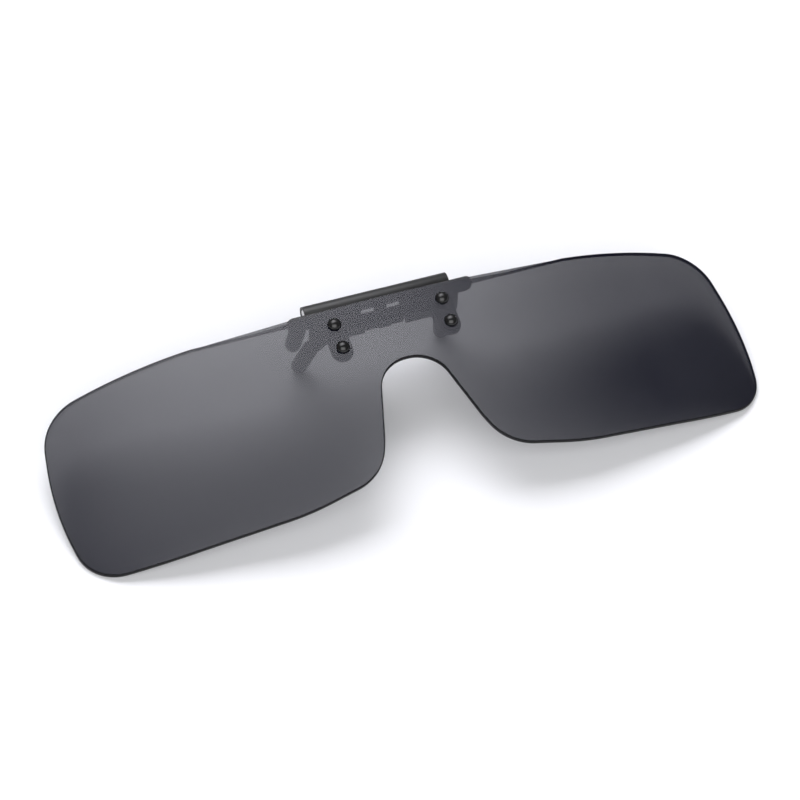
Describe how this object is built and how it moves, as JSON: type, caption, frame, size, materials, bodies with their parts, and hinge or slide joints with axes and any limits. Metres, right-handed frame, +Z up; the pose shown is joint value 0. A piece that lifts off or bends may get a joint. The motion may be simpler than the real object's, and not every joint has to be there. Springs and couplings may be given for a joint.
{
  "type": "clip-on sunglasses",
  "caption": "Rimless one-piece shield sunglass lens on a sprung clamp with rubber-tipped prongs; the lens flips up and the clamp opens to grip spectacles.",
  "frame": {"origin": "middle of the footprint on the surface that the object lies on, face up", "axes": "+X to the right along the lens, +Y towards the lens's top edge, +Z up out of its front; both hinge axes run along X"},
  "size_m": [0.142, 0.0452, 0.0218],
  "materials": {
    "tinted_lens": "smoke grey polarised plastic, smooth, with a faint mirror coat",
    "rivet_black": "gloss black plated domes",
    "nylon": "smoke translucent nylon washers",
    "black_sheet": "satin black coated spring steel sheet",
    "bare_steel": "bare drawn steel",
    "black_rubber": "satin black rubber"
  },
  "bodies": {
    "clamp": {"front_jaw": "black_sheet", "jaw_pin": "bare_steel", "jaw_spring_left": "bare_steel", "jaw_spring_right": "bare_steel", "front_sleeve_left": "black_rubber", "front_sleeve_right": "black_rubber"},
    "shade": {"shield_lens": "tinted_lens", "rivet_upper_left": "rivet_black", "rivet_upper_right": "rivet_black", "rivet_lower_left": "rivet_black", "rivet_lower_right": "rivet_black", "spacer_upper_left": "nylon", "spacer_upper_right": "nylon", "spacer_lower_left": "nylon", "spacer_lower_right": "nylon", "lens_bracket": "black_sheet", "flip_pin": "bare_steel", "flip_detent_leaf": "bare_steel"},
    "rear_clamp": {"rear_jaw": "black_sheet", "rear_sleeve_left": "black_rubber", "rear_sleeve_right": "black_rubber"}
  },
  "joints": [
    {"name": "shade_flip", "type": "hinge", "parent": "clamp", "child": "shade", "pos_m": [0, 0.01394, 0.01554], "axis": [1, 0, 0], "range_deg": [0, 90]},
    {"name": "rear_jaw_open", "type": "hinge", "parent": "clamp", "child": "rear_clamp", "pos_m": [0, 0.01898, 0.01704], "axis": [1, 0, 0], "range_deg": [0, 22], "stiffness_Nm_per_rad": 0.02, "springref_deg": -28.65}
  ]
}
